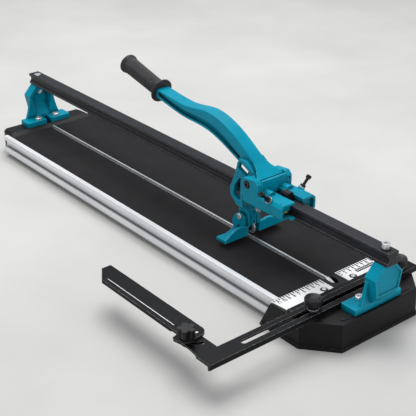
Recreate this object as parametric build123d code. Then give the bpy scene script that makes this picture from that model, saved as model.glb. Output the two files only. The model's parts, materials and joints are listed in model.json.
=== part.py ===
from build123d import *
import os
from math import cos, pi, radians, sin, tan

# Manual push tile cutter, in millimetres.
# X runs across the machine, Y along the rail (the operator's end is -Y), Z is up.
# The origin is on the floor, under the middle of the rail.

# ---- driving dimensions ----
RAIL_LENGTH = 1000.0
RAIL_WIDTH = 23.0
RAIL_HEIGHT = 22.0
RAIL_TOP = 145.4
RAIL_BOTTOM = RAIL_TOP - RAIL_HEIGHT
RAIL_GAP = 1.0                      # air between the carriage and the rail's top
GROOVE_Z = 134.4                    # middle of the roller groove in each flank of the rail
GROOVE_RADIUS = 6.8
GROOVE_DEPTH = 4.0

SHOE_TOP = 46.6
SHOE_WALL = 5.0
FRONT_SHOE_FACE = -485.9
REAR_SHOE_FACE = 484.0
FRONT_SHOE_HALF = 121.7
REAR_SHOE_HALF = 97.5

BASE_FRONT = -372.0
BASE_REAR = 455.0
BASE_HALF = 107.0
BASE_BOTTOM = 5.0
DECK_TOP = 40.0
DECK_THICK = 4.0
PAD_TOP = 43.5
PAD_OUTER = 97.5
PAD_INNER = 5.5
PAD_REAR = 436.6
BAR_HALF = 1.75
BAR_TOP = 45.5
STRIP_HALF = 6.0

RULER_INNER = 16.8
RULER_OUTER = 118.6
RULER_FRONT = -408.7
RULER_REAR = -372.4
RULER_THICK = 1.2
RULER_HOLE = (32.0, -398.0, 6.5)    # x, y, radius

BRACKET_FACE = 496.0                # outer face of both brackets, from the rail's middle
BRACKET_DEPTH = 21.5
FOOT_TOP = 57.0
FOOT_FACE = 480.5
FOOT_INNER_FACE = 450.8
FOOT_HALF = 50.5
FOOT_GAP = 5.5                      # half the slot between a bracket's feet
FOOT_SCREW = (20.5, 459.5)
RAIL_BOLT_Y = 484.8

PIVOT_Y = -221.0                    # handle pivot
PIVOT_Z = 161.5
PIVOT_RADIUS = 4.0
RUNNING_FIT = 0.05
CARRIAGE_HALF = 37.0
ARM_INNER = 13.0
ARM_FRONT = -303.0
ARM_REAR = -212.0
ARM_BOTTOM = 128.0
ARM_TOP = 153.0
CHEEK_FRONT = -247.0
CHEEK_REAR = -206.0
CHEEK_INNER = 27.0
POCKET_FLOOR = 150.0
ROLLER_X = 16.0
ROLLER_YS = (-288.0, -227.0)
ROLLER_RADIUS = 8.2
ROLLER_WIDTH = 7.0
AXLE_RADIUS = 2.5
ADJUSTER_Y = -272.0
ADJUSTER_SUM = 188.0                # x + z on the seat of each adjusting screw's lock nut
ADJUSTER_OFFSET = 117.0             # z - x along each adjusting screw

FOOT_PIVOT = (-183.5, 83.5)         # y, z of the breaking foot's hinge
LEG_INNER = 12.2
LEG_OUTER = 20.0
BLOCK_HALF = 11.8                   # half width of the block that joins the legs under the rail
WHEEL_AXLE = (-193.0, 62.0)
WHEEL_RADIUS = 11.0
EAR_INNER = 12.2
EAR_OUTER = 17.4
PRESS_FACE = 52.5                   # underside of the breaking foot's wings
WING_TIP = 62.0

GRIP_START = (49.6, 233.3)          # y, z where the grip's flange begins
GRIP_ANGLE = 13.5
GRIP_LENGTH = 106.5
GRIP_BORE = 8.0

FENCE_TOP = 56.0
FENCE_PLATE = 3.2
ARM_LEFT = -302.0
ARM_RIGHT = 123.4
ARM_FACE_Y = -450.0
ARM_BACK_Y = -420.8
SLOT_Y = -435.5
SLOT_HALF = 4.6
SLOT_ENDS = (-232.0, 112.0)
STUD_X = 93.0
STUD_RADIUS = 4.0
FENCE_PIVOT = (-268.0, -380.0)      # rivet that the side fence swings on
SWING_RADIUS = 22.0                 # from the rivet to the knob's stud
SWING_REST = 192.5                  # direction of the stud from the rivet, in degrees about +Z
SWING_RANGE = (-15.0, 60.0)
SWING_STUD = 3.0
SWING_SLOT_HALF = 3.4
SIDE_LEFT = -290.0
SIDE_RIGHT = -254.0
SIDE_REAR = -147.0
SIDE_BOTTOM = 47.0                  # under the edge that meets the tile
SIDE_EDGE = 54.0                    # under the outer edge
SIDE_TOP = 60.4


# ---- helpers ----
def prism_x(points, x0, x1):
    """Polygon of (y, z) points, extruded from x0 to x1."""
    face = Plane(origin=(x0, 0, 0), x_dir=(0, 1, 0), z_dir=(1, 0, 0)) * Polygon(*points, align=None)
    return extrude(face, amount=x1 - x0, dir=(1, 0, 0))


def prism_y(points, y0, y1):
    """Polygon of (x, z) points, extruded from y0 to y1."""
    face = Plane(origin=(0, y1, 0), x_dir=(1, 0, 0), z_dir=(0, -1, 0)) * Polygon(*points, align=None)
    return extrude(face, amount=y1 - y0, dir=(0, -1, 0))


def prism_z(points, z0, z1):
    """Polygon of (x, y) points, extruded from z0 to z1."""
    face = Plane(origin=(0, 0, z0)) * Polygon(*points, align=None)
    return extrude(face, amount=z1 - z0, dir=(0, 0, 1))


def block(x0, x1, y0, y1, z0, z1):
    """Rectangular block between two corners."""
    return Pos(x0, y0, z0) * Box(x1 - x0, y1 - y0, z1 - z0, align=(Align.MIN,) * 3)


def rod_x(y, z, radius, x0, x1):
    """Round bar along X."""
    bar = Cylinder(radius, x1 - x0, align=(Align.CENTER, Align.CENTER, Align.MIN))
    return Pos(x0, y, z) * Rot(0, 90, 0) * bar


def rod_y(x, z, radius, y0, y1):
    """Round bar along Y."""
    bar = Cylinder(radius, y1 - y0, align=(Align.CENTER, Align.CENTER, Align.MIN))
    return Pos(x, y0, z) * Rot(-90, 0, 0) * bar


def rod_z(x, y, radius, z0, z1):
    """Round bar along Z."""
    return Pos(x, y, z0) * Cylinder(radius, z1 - z0, align=(Align.CENTER, Align.CENTER, Align.MIN))


def hexagon_z(x, y, across_flats, z0, z1):
    """Hexagonal prism along Z."""
    face = Plane(origin=(x, y, z0)) * RegularPolygon(across_flats / 2, 6, major_radius=False)
    return extrude(face, amount=z1 - z0)


def both_sides(shape):
    """The shape and its mirror image across the rail's middle plane."""
    return shape + mirror(shape, about=Plane.YZ)


def turned(shape):
    """Half a turn about the vertical through the origin."""
    return Rot(0, 0, 180) * shape


def cap_screw(x, y, seat, head_radius, head_height, shank_radius, tip):
    """Socket-head screw standing on a seat, with its hexagon socket."""
    screw = rod_z(x, y, head_radius, seat, seat + head_height)
    screw = chamfer(screw.edges().group_by(Axis.Z)[-1], head_height * 0.1)
    screw += rod_z(x, y, shank_radius, tip, seat)
    socket_depth = head_height * 0.55
    return screw - hexagon_z(x, y, head_radius, seat + head_height - socket_depth, seat + head_height + 1)


# ---- rail ----
def rail():
    """Solid bar with a round groove in each flank, drilled at both ends."""
    corner = 1.0
    half = RAIL_WIDTH / 2
    section = Pos(0, (RAIL_TOP + RAIL_BOTTOM) / 2) * Rectangle(RAIL_WIDTH, RAIL_HEIGHT)
    section = chamfer(section.vertices(), corner)
    groove_x = half - GROOVE_DEPTH + GROOVE_RADIUS
    for side in (-1, 1):
        section -= Pos(side * groove_x, GROOVE_Z) * Circle(GROOVE_RADIUS)
    end_plane = Plane(origin=(0, RAIL_LENGTH / 2, 0), x_dir=(1, 0, 0), z_dir=(0, -1, 0))
    bar = extrude(end_plane * section, amount=RAIL_LENGTH)
    for y in (-RAIL_BOLT_Y, RAIL_BOLT_Y):
        bar -= rod_z(0, y, 4.2, RAIL_BOTTOM - 1, RAIL_TOP + 1)
    return bar - rod_z(0, RAIL_BOLT_Y, 7.0, RAIL_TOP - 4.0, RAIL_TOP + 1)


def front_rail_bolt():
    """Cap screw that stands proud of the rail on its washer."""
    return cap_screw(0, -RAIL_BOLT_Y, RAIL_TOP + 1.6, 6.5, 8.0, 4.0, 104.0)


def front_rail_washer():
    return rod_z(0, -RAIL_BOLT_Y, 7.6, RAIL_TOP, RAIL_TOP + 1.6) - rod_z(
        0, -RAIL_BOLT_Y, 4.2, RAIL_TOP - 1, RAIL_TOP + 3)


def rear_rail_bolt():
    """Low-head screw sunk nearly flush into the rail."""
    return cap_screw(0, RAIL_BOLT_Y, RAIL_TOP - 4.0, 6.6, 4.4, 4.0, 104.0)


def rail_nut(y):
    """Hexagon nut under a bracket's saddle."""
    top = RAIL_BOTTOM - 10.0
    return hexagon_z(0, y, 13.0, top - 6.5, top) - rod_z(0, y, 4.0, top - 8, top + 1)


# ---- base ----
def base_extrusion():
    """Aluminium deck with side rails, a centre web under the breaking bar and four screw ports."""
    section = Pos(0, DECK_TOP - DECK_THICK / 2) * Rectangle(2 * BASE_HALF, DECK_THICK)
    for side in (-1, 1):
        section += Pos(side * (BASE_HALF - 4.5), 40.75) * Rectangle(9, 6.5)
        section += Pos(side * (BASE_HALF - 7.5), 22.0) * Rectangle(3.5, 34)
        section += Pos(side * (BASE_HALF - 12.0), BASE_BOTTOM + 2) * Rectangle(16, 4)
        section += Pos(side * (BASE_HALF - 4.6), 12.5) * Rectangle(9.2, 3)
        section += Pos(side * (BASE_HALF - 1.75), 16.5) * Rectangle(3.5, 11)
        section += Pos(side * 60.0, 31.5) * Circle(5.0)
        section += Pos(side * 60.0, 35.0) * Rectangle(10, 4)
    section += Pos(0, 21.0) * Rectangle(14, 32)
    section += Pos(0, BASE_BOTTOM + 2) * Rectangle(28, 4)
    for side in (-1, 1):
        section -= Pos(side * 60.0, 31.5) * Circle(2.5)
    section -= Pos(0, 37.5) * Rectangle(2 * BAR_HALF, 9.0)
    end_plane = Plane(origin=(0, BASE_REAR, 0), x_dir=(1, 0, 0), z_dir=(0, -1, 0))
    return extrude(end_plane * section, amount=BASE_REAR - BASE_FRONT)


def floor_strip(x):
    """Rubber strip that the base stands on."""
    return block(x - STRIP_HALF, x + STRIP_HALF, BASE_FRONT + 22, BASE_REAR - 20, 0, BASE_BOTTOM)


def rubber_pad(side):
    """Resilient pad between the centre bar and the base's outer flange."""
    inner, outer = sorted((side * PAD_INNER, side * PAD_OUTER))
    pad = block(inner, outer, BASE_FRONT + 0.5, PAD_REAR, DECK_TOP, PAD_TOP)
    return chamfer(pad.edges().group_by(Axis.Z)[-1], 0.8)


def breaking_bar():
    """Narrow steel bar on edge that the tile snaps over, with a tapered tongue at the front."""
    bar = block(-BAR_HALF, BAR_HALF, BASE_FRONT, PAD_REAR, 33.2, BAR_TOP)
    plan = prism_z([(-3.6, -371.0), (3.6, -371.0), (3.6, -378.0), (0.8, -394.0), (-0.8, -394.0),
                    (-3.6, -378.0)], 38.6, 47.0)
    side = prism_x([(-371.0, 38.6), (-371.0, BAR_TOP), (-376.0, 44.4), (-394.0, 40.6), (-394.0, 38.6)], -5, 5)
    return bar + (plan & side & block(-5, 5, -395.0, BASE_FRONT, 38.6, 47.0))


def shoe_solid(plan, inset_plan, top):
    """Drafted block between a bottom and a smaller top outline."""
    bottom = Plane(origin=(0, 0, 0)) * Polygon(*plan, align=None)
    upper = Plane(origin=(0, 0, top)) * Polygon(*inset_plan, align=None)
    return loft([bottom, upper])


def octagon_front(half, face, nose_half, shoulder, back):
    """Half-octagon outline of a shoe, chamfered at its outer end."""
    return [(-nose_half, face), (nose_half, face), (half, shoulder), (half, back),
            (-half, back), (-half, shoulder)]


def front_shoe():
    """Black cast end shoe at the operator's end, hollow underneath."""
    shoulder = FRONT_SHOE_FACE + 48.9
    outer = shoe_solid(
        octagon_front(FRONT_SHOE_HALF + 1.2, FRONT_SHOE_FACE - 1.2, 81.0, shoulder - 0.6, -352.0),
        octagon_front(FRONT_SHOE_HALF, FRONT_SHOE_FACE, 80.3, shoulder, -374.0), SHOE_TOP)
    outer = fillet(outer.edges().group_by(Axis.Z)[-1], 1.5)
    skirt = prism_z(octagon_front(FRONT_SHOE_HALF + 2.6, FRONT_SHOE_FACE - 2.6, 81.8,
                                  shoulder - 1.2, -356.0), 0, 5.5)
    hollow = prism_z(octagon_front(FRONT_SHOE_HALF - SHOE_WALL, FRONT_SHOE_FACE + SHOE_WALL, 78.2,
                                   shoulder + 2.0, BASE_FRONT - 6.0), -1, SHOE_TOP - SHOE_WALL)
    shoe = outer + skirt - hollow
    shoe -= block(-BASE_HALF - 0.3, BASE_HALF + 0.3, BASE_FRONT, -340.0, -1, SHOE_TOP + 1)
    for side in (-1, 1):
        for x, y in ((FOOT_SCREW[0], -FOOT_SCREW[1]), (STUD_X, SLOT_Y)):
            shoe += rod_z(side * x, y, 8.0, 14.0, SHOE_TOP - 2)
        shoe += block(side * 60 - 8, side * 60 + 8, BASE_FRONT - 12, BASE_FRONT, 20, SHOE_TOP - 2)
        shoe -= rod_y(side * 60, 31.5, 2.6, BASE_FRONT - 40, BASE_FRONT + 1)
        shoe -= rod_y(side * 60, 31.5, 5.2, BASE_FRONT - 30, BASE_FRONT - 8)
        shoe -= rod_z(side * FOOT_SCREW[0], -FOOT_SCREW[1], 3.0, 18.0, SHOE_TOP + 1)
        shoe -= rod_z(side * STUD_X, SLOT_Y, STUD_RADIUS, 18.0, SHOE_TOP + 1)
        shoe -= rod_z(side * RULER_HOLE[0], RULER_HOLE[1], 2.0, SHOE_TOP - 4.5, SHOE_TOP + 1)
        shoe -= rod_z(side * 70.0, -414.3, 2.0, SHOE_TOP - 4.5, SHOE_TOP + 1)
    shoe += block(-10.0, 10.0, -402.0, BASE_FRONT, 34.0, 43.0)
    notch = [(-7.0, BASE_FRONT + 1), (7.0, BASE_FRONT + 1), (7.0, -389.0), (0, -398.0), (-7.0, -389.0)]
    shoe -= prism_z(notch, 38.4, 50.0)
    for side in (-1, 1):
        rib = block(side * 63 - 10.5, side * 63 + 10.5, -478.0, -470.0, SHOE_TOP - 1, SHOE_TOP + 1.4)
        shoe += fillet(rib.edges().filter_by(Axis.Z), 3.5)
    return shoe


def rear_shoe():
    """Black cast end shoe at the far end: a cap with sloping lip and sides, closed behind the base."""
    half, face = REAR_SHOE_HALF, REAR_SHOE_FACE
    lip = PAD_REAR + 0.4
    plan = [(-half, lip), (half, lip), (half, 464.0), (90.0, face), (-90.0, face), (-half, 464.0)]
    top = [(-89.5, 450.0), (89.5, 450.0), (89.5, 468.0), (86.0, face - 2.5), (-86.0, face - 2.5),
           (-89.5, 468.0)]
    cap = loft([Plane(origin=(0, 0, DECK_TOP + 1.5)) * Polygon(*plan, align=None),
                Plane(origin=(0, 0, SHOE_TOP)) * Polygon(*top, align=None)])
    cap += prism_z(plan, DECK_TOP, DECK_TOP + 1.5)
    body = prism_z([(-half, BASE_REAR)] + [(half, BASE_REAR)] + plan[2:], 0, DECK_TOP)
    shoe = cap + body
    hollow = [(-half + SHOE_WALL, BASE_REAR + 6), (half - SHOE_WALL, BASE_REAR + 6),
              (half - SHOE_WALL, 462.0), (86.0, face - SHOE_WALL), (-86.0, face - SHOE_WALL),
              (-half + SHOE_WALL, 462.0)]
    shoe -= prism_z(hollow, -1, SHOE_TOP - SHOE_WALL - 1.5)
    for side in (-1, 1):
        shoe += rod_z(side * FOOT_SCREW[0], FOOT_SCREW[1], 8.0, 14.0, SHOE_TOP - 2)
        shoe += block(side * 60 - 8, side * 60 + 8, BASE_REAR, BASE_REAR + 12, 20, SHOE_TOP - 2)
        shoe -= rod_y(side * 60, 31.5, 2.6, BASE_REAR - 1, BASE_REAR + 40)
        shoe -= rod_y(side * 60, 31.5, 5.2, BASE_REAR + 8, BASE_REAR + 40)
        shoe -= rod_z(side * FOOT_SCREW[0], FOOT_SCREW[1], 3.0, 18.0, SHOE_TOP + 1)
    return shoe - block(-BASE_HALF, BASE_HALF, 400.0, BASE_REAR, -1, DECK_TOP)


def shoe_screws():
    """Four screws that pull the end shoes onto the base's screw ports."""
    group = []
    for side in (-1, 1):
        x = side * 60
        front = rod_y(x, 31.5, 5.0, BASE_FRONT - 12, BASE_FRONT - 8) + rod_y(
            x, 31.5, 2.45, BASE_FRONT - 8, BASE_FRONT + 20)
        rear = rod_y(x, 31.5, 5.0, BASE_REAR + 8, BASE_REAR + 12) + rod_y(
            x, 31.5, 2.45, BASE_REAR - 20, BASE_REAR + 8)
        group += [front, rear]
    return group


# ---- measuring gear on the front shoe ----
def ruler(side):
    """Steel scale on the front shoe, with a clearance hole round its screw."""
    slant = 3.0
    plate = prism_z([(side * RULER_INNER, RULER_FRONT), (side * RULER_INNER, RULER_REAR),
                     (side * RULER_OUTER, RULER_REAR), (side * (RULER_OUTER - slant), RULER_FRONT)],
                    SHOE_TOP, SHOE_TOP + RULER_THICK)
    x, y, radius = RULER_HOLE
    return plate - rod_z(side * x, y, radius, SHOE_TOP - 1, SHOE_TOP + 3)


def ruler_screws():
    """Two small screws, each on a dished washer of its own, that locate the scales."""
    group = []
    for side in (-1, 1):
        x, y, _ = RULER_HOLE
        group.append(cap_screw(side * x, y, SHOE_TOP + 0.6, 3.6, 1.6, 1.95, SHOE_TOP - 4))
    return group


def ruler_washers():
    group = []
    for side in (-1, 1):
        x, y, radius = RULER_HOLE
        washer = rod_z(side * x, y, radius - 0.2, SHOE_TOP, SHOE_TOP + 0.6)
        group.append(washer - rod_z(side * x, y, 2.1, SHOE_TOP - 1, SHOE_TOP + 2))
    return group


def backstop_bar():
    """Ridge across the shoe that the near edge of the tile is pushed against."""
    bar = block(-120.5, 120.5, -419.6, -409.2, SHOE_TOP, 54.0)
    bar = chamfer(bar.edges().group_by(Axis.Z)[-1], 1.2)
    for side in (-1, 1):
        bar -= rod_z(side * 70, -414.3, 2.1, SHOE_TOP - 1, 60)
        bar -= rod_z(side * 70, -414.3, 3.9, 51.0, 60)
    return bar


def backstop_screws():
    return [cap_screw(side * 70, -414.3, 51.0, 3.6, 2.6, 1.95, SHOE_TOP - 4) for side in (-1, 1)]


# ---- rail brackets ----
def bracket_profile(inset):
    """House-shaped outline of a bracket's post, drawn inside itself by an inset."""
    low, shoulder, crown = 19.5 - inset, 29.3 - inset, 11.5 - inset * 0.45
    return [(-low, FOOT_TOP), (low, FOOT_TOP), (shoulder, 104.0 - inset * 0.4),
            (crown, RAIL_BOTTOM - inset), (-crown, RAIL_BOTTOM - inset), (-shoulder, 104.0 - inset * 0.4)]


def bracket():
    """Rear bracket: hollow post with a saddle on top, splayed ribs and two bolted feet."""
    inner_face = BRACKET_FACE - BRACKET_DEPTH
    wall = 4.5
    post = prism_y(bracket_profile(0), inner_face, BRACKET_FACE)
    post -= prism_x([(BRACKET_FACE + 1, 74.0), (BRACKET_FACE + 1, FOOT_TOP - 1), (FOOT_FACE, FOOT_TOP - 1),
                     (FOOT_FACE, FOOT_TOP)], -60, 60)
    post = fillet(post.edges().filter_by(Axis.Y), 1.2)
    low, shoulder = 19.5 - wall, 29.3 - wall
    cavity = prism_y([(-low, FOOT_TOP), (low, FOOT_TOP), (shoulder, 102.0), (10.0, 113.4),
                      (-10.0, 113.4), (-shoulder, 102.0)], inner_face - 1, BRACKET_FACE - wall)
    cavity -= prism_x([(BRACKET_FACE, 84.0), (BRACKET_FACE, FOOT_TOP - 1), (FOOT_FACE - 8, FOOT_TOP - 1)],
                      -60, 60)
    post -= cavity
    panel = [(-20.0, 77.0), (20.0, 77.0), (26.0, 102.5), (10.5, 118.5), (-10.5, 118.5), (-26.0, 102.5)]
    post -= prism_y(panel, BRACKET_FACE - 1.6, BRACKET_FACE + 1)
    foot = block(FOOT_GAP, FOOT_HALF, FOOT_INNER_FACE, FOOT_FACE, SHOE_TOP, FOOT_TOP)
    foot = fillet(foot.edges().filter_by(Axis.Z), 2.0)
    foot = chamfer(foot.edges().group_by(Axis.Z)[-1], 0.8)
    rib = prism_y([(18.0, FOOT_TOP - 1), (18.0, 70.0), (24.0, 94.0), (25.5, 101.0), (28.0, 97.5),
                   (30.5, 84.0), (34.5, 69.0), (39.5, FOOT_TOP - 1)], FOOT_FACE - 5.5, FOOT_FACE)
    joint_strip = block(-FOOT_GAP - 3, FOOT_GAP + 3, FOOT_FACE - 8, FOOT_FACE, SHOE_TOP, FOOT_TOP - 0.8)
    casting = post + both_sides(foot + rib) + joint_strip
    for side in (-1, 1):
        casting -= rod_z(side * FOOT_SCREW[0], FOOT_SCREW[1], 3.3, 40.0, 70.0)
    return casting - rod_z(0, RAIL_BOLT_Y, 4.1, 100.0, 130.0)


def bracket_screws(end):
    """Pan-head screws that hold a bracket's feet on its shoe."""
    group = []
    for side in (-1, 1):
        x, y = side * FOOT_SCREW[0], end * FOOT_SCREW[1]
        screw = rod_z(x, y, 6.8, FOOT_TOP, FOOT_TOP + 4.6)
        screw = fillet(screw.edges().group_by(Axis.Z)[-1], 1.8)
        screw += rod_z(x, y, 2.95, 20.0, FOOT_TOP)
        group.append(screw - hexagon_z(x, y, 5.0, FOOT_TOP + 2.2, FOOT_TOP + 6))
    return group


# ---- carriage ----
def adjuster_plane(side, distance):
    """Plane across an adjusting screw, at a distance out from the lock nut's seat."""
    lean = distance / 2 ** 0.5
    x = (ADJUSTER_SUM - ADJUSTER_OFFSET) / 2 + lean
    z = (ADJUSTER_SUM + ADJUSTER_OFFSET) / 2 + lean
    return Plane(origin=(side * x, ADJUSTER_Y, z), x_dir=(0, 1, 0), z_dir=(side, 0, 1))


def adjuster_rod(side, radius, start, end):
    """Round bar along an adjusting screw's axis, measured from the lock nut's seat."""
    return extrude(adjuster_plane(side, start) * Circle(radius), amount=end - start)


def carriage_body():
    """Teal saddle casting: two arms beside the rail and the cheeks that hold the handle."""
    arm = prism_y([(ARM_INNER, ARM_BOTTOM), (CARRIAGE_HALF - 2, ARM_BOTTOM), (CARRIAGE_HALF, ARM_BOTTOM + 3),
                   (CARRIAGE_HALF, ARM_TOP - 5), (CARRIAGE_HALF - 5, ARM_TOP), (9.0, ARM_TOP),
                   (9.0, RAIL_TOP + RAIL_GAP), (ARM_INNER, RAIL_TOP + RAIL_GAP)], ARM_FRONT, ARM_REAR)
    cheek = prism_x([(CHEEK_FRONT, ARM_BOTTOM + 8), (CHEEK_REAR - 6, ARM_BOTTOM + 8), (CHEEK_REAR, 150.0),
                     (CHEEK_REAR, 163.0), (-213.0, 171.5), (-240.0, 174.5), (CHEEK_FRONT, 168.0)],
                    CHEEK_INNER, CARRIAGE_HALF)
    cheek = fillet(cheek.edges().filter_by(Axis.X), 2.5)
    boss = rod_y(19.0, 151.0, 7.5, -263.0, CHEEK_FRONT + 1)
    boss = boss & block(9.0, 40.0, -280.0, CHEEK_FRONT + 1, ARM_TOP - 3, ARM_TOP + 10)
    body = both_sides(arm + cheek + boss)
    for side in (-1, 1):
        body += adjuster_rod(side, 6.0, -9.0, 0)
    floor = block(-ARM_INNER, ARM_INNER, CHEEK_FRONT, ARM_REAR, RAIL_TOP + RAIL_GAP, POCKET_FLOOR)
    wall = prism_x([(CHEEK_FRONT, RAIL_TOP + RAIL_GAP), (-242.0, RAIL_TOP + RAIL_GAP), (-242.0, 172.0),
                    (CHEEK_FRONT + 1, 172.0)], -CHEEK_INNER, CHEEK_INNER)
    tab = block(-22.0, -15.0, ARM_FRONT - 9.0, ARM_FRONT, ARM_BOTTOM, ARM_BOTTOM + 3.5)
    body += floor + wall + tab
    body -= block(-CHEEK_INNER, CHEEK_INNER, -242.0, -190.0, POCKET_FLOOR, 190.0)
    for side in (-1, 1):
        for y in ROLLER_YS:
            near, far = sorted((side * 5.0, side * (ROLLER_X + ROLLER_RADIUS + 1.4)))
            half = ROLLER_WIDTH / 2 + 0.5
            body -= block(near, far, y - 9.8, y + 9.8, GROOVE_Z - half, GROOVE_Z + half)
            body -= rod_z(side * ROLLER_X, y, AXLE_RADIUS, ARM_BOTTOM - 1, ARM_TOP - 6)
        body -= adjuster_rod(side, 2.55, -40.0, 20.0)
        body -= adjuster_rod(side, 3.6, -40.0, -14.0)
        body -= rod_z(side * 30.5, -293.5, 1.3, ARM_TOP - 4, ARM_TOP + 1)
        hollow = prism_y([(side * 8.0, 130.4), (side * 31.0, 130.4), (side * 33.4, 133.0),
                          (side * 33.4, 145.0), (side * 30.0, 149.0), (side * 8.0, 149.0)],
                         ARM_FRONT - 1, -297.4)
        body -= hollow & block(-60, 60, ARM_FRONT - 1, -297.4, 130.4, 149.0)
    body -= rod_y(32.0, 163.5, 2.2, CHEEK_FRONT - 1, CHEEK_FRONT + 8)
    body -= rod_x(PIVOT_Y, PIVOT_Z, PIVOT_RADIUS, -50, 50)
    body -= rod_x(PIVOT_Y, PIVOT_Z, 7.2, -50, -CARRIAGE_HALF + 4)
    return body


def roller(side, y):
    """Grooved-rail roller: a short drum with a convex rim, on a vertical axle."""
    rim = 6.3
    half = ROLLER_WIDTH / 2
    edge = ROLLER_RADIUS - rim + (rim ** 2 - half ** 2) ** 0.5
    bore = AXLE_RADIUS + RUNNING_FIT
    outline = [Line((bore, -half), (edge, -half)),
               ThreePointArc((edge, -half), (ROLLER_RADIUS, 0), (edge, half)),
               Line((edge, half), (bore, half)), Line((bore, half), (bore, -half))]
    section = Plane.XZ * make_face(outline)
    return Pos(side * ROLLER_X, y, GROOVE_Z) * revolve(section, Axis.Z)


def roller_axles():
    """Four plain pins pressed up into the arms."""
    return [rod_z(side * ROLLER_X, y, AXLE_RADIUS, ARM_BOTTOM + 0.3, ARM_TOP - 6.5)
            for side in (-1, 1) for y in ROLLER_YS]


def adjusting_screws():
    """Two slanted cap screws that set the play of the carriage on the rail."""
    group = []
    for side in (-1, 1):
        screw = adjuster_rod(side, 2.5, -14.0, 18.5) + adjuster_rod(side, 4.4, 18.5, 24.0)
        socket = adjuster_plane(side, 21.0) * RegularPolygon(2.2, 6, major_radius=False)
        group.append(screw - extrude(socket, amount=5))
    return group


def adjusting_washers():
    """Bright washers under the lock nuts."""
    return [adjuster_rod(side, 5.8, 0, 1.2) - adjuster_rod(side, 2.6, -1, 3) for side in (-1, 1)]


def adjusting_nuts():
    """Lock nuts on the adjusting screws."""
    group = []
    for side in (-1, 1):
        nut = extrude(adjuster_plane(side, 1.2) * RegularPolygon(4.4, 6, major_radius=False), amount=5.0)
        group.append(nut - adjuster_rod(side, 2.5, -1, 8))
    return group


def guide_plugs():
    """Brass plugs that the adjusting screws press towards the rail's grooves."""
    group = []
    for side in (-1, 1):
        plug = adjuster_rod(side, 3.5, -29.2, -14.0)
        keep_out = block(-ARM_INNER, ARM_INNER, -300, -240, 100, 160)
        group.append(plug - keep_out)
    return group


def rail_wiper():
    """Black block that rides over the rail between the arms and keeps grit off it."""
    low = RAIL_TOP + 0.6
    body = block(-9.0, 9.0, -284.0, -270.0, low, 150.0)
    cap = block(-6.5, 6.5, -284.0, -270.0, 149.0, 159.5)
    cap = chamfer(cap.edges().group_by(Axis.Z)[-1].filter_by(Axis.Y), 2.5)
    return body + cap


def pivot_bolt():
    """Through bolt on which the handle turns, its head sunk in the left cheek."""
    bolt = rod_x(PIVOT_Y, PIVOT_Z, PIVOT_RADIUS, -CARRIAGE_HALF + 4, CARRIAGE_HALF + 8)
    head = rod_x(PIVOT_Y, PIVOT_Z, 5.8, -CARRIAGE_HALF - 1.5, -CARRIAGE_HALF + 4)
    head = chamfer(head.edges().group_by(Axis.X)[0], 0.7)
    socket = Plane(origin=(-CARRIAGE_HALF - 2, PIVOT_Y, PIVOT_Z), z_dir=(1, 0, 0)) * RegularPolygon(
        2.6, 6, major_radius=False)
    return bolt + head - extrude(socket, amount=4)


def pivot_nut():
    """Nyloc nut on the right cheek."""
    face = Plane(origin=(CARRIAGE_HALF, PIVOT_Y, PIVOT_Z), z_dir=(1, 0, 0)) * RegularPolygon(
        6.5, 6, major_radius=False)
    return extrude(face, amount=6.5) - rod_x(PIVOT_Y, PIVOT_Z, PIVOT_RADIUS, 30, 50)


# ---- handle ----
def grip_plane(distance):
    """Plane across the grip's axis, at a distance along it."""
    lean = radians(GRIP_ANGLE)
    y = GRIP_START[0] + distance * cos(lean)
    z = GRIP_START[1] + distance * sin(lean)
    return Plane(origin=(0, y, z), x_dir=(1, 0, 0), z_dir=(0, cos(lean), sin(lean)))


def handle_arch():
    """Side outline of the curved arm from its root to the grip, as a (y, z) face."""
    top = Spline((47.1, 240.9), (20, 237.6), (-10, 234.6), (-35, 234.0), (-60, 237.0), (-86, 240.2),
                 (-112, 238.0), (-136, 231.0), (-160, 220.0), (-182, 207.0), (-198, 196.5), (-212, 186.5))
    bottom = Spline((-180, 176.0), (-163, 183.2), (-138, 193.8), (-113, 202.9), (-88, 208.6),
                    (-58, 210.9), (-30, 211.8), (4, 216.8), (32, 222.0), (52.1, 225.7))
    return make_face([top, Line((-212, 186.5), (-180, 176.0)), bottom, Line((52.1, 225.7), (47.1, 240.9))])


def handle_channel():
    """Recess that runs along each side of the arch, above its lower edge."""
    top = Spline((40, 236.6), (4, 229.5), (-30, 224.8), (-60, 224.6), (-90, 223.4), (-120, 216.4),
                 (-150, 203.0), (-176, 189.0))
    bottom = Spline((-174, 182.6), (-150, 191.8), (-120, 203.2), (-90, 211.4), (-58, 213.9),
                    (-30, 214.9), (4, 219.9), (42, 228.0))
    return make_face([top, Line((-176, 189.0), (-174, 182.6)), bottom,
                      ThreePointArc((42, 228.0), (45.0, 233.2), (40, 236.6))])


def side_extrude(face, x0, x1):
    """Extrude a face drawn in (y, z) from x0 to x1."""
    plane = Plane(origin=(x0, 0, 0), x_dir=(0, 1, 0), z_dir=(1, 0, 0))
    return extrude(plane * face, amount=x1 - x0, dir=(1, 0, 0))


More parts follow.
